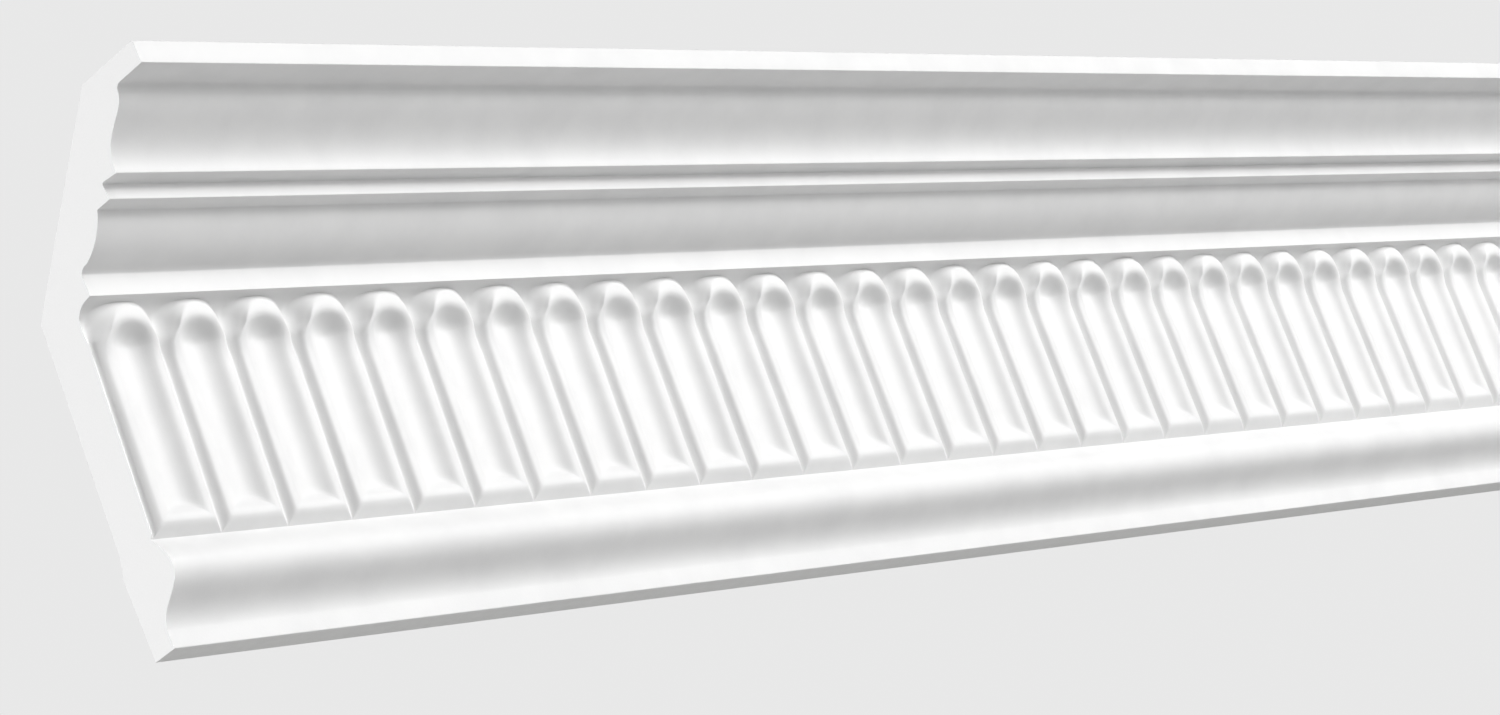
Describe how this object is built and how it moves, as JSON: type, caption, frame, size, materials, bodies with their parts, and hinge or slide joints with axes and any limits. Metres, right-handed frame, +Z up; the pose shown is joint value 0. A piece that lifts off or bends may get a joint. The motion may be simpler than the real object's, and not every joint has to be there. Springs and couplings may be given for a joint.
{
  "type": "cornice moulding length",
  "caption": "Straight length of ceiling cornice with a lip, ogee, quarter round and a frieze of hollowed round-headed tongues, flat foot and top for gluing.",
  "frame": {"origin": "centre of the flat foot face that is glued to the wall, at mid length", "axes": "+X along the run, +Y into the wall, +Z up to the ceiling, as the moulding hangs in a room"},
  "size_m": [0.99, 0.091, 0.17],
  "materials": {
    "primed_white": "smooth white priming coat on hard foam, low sheen"
  },
  "bodies": {
    "root": {"cornice_moulding": "primed_white"}
  },
  "joints": []
}
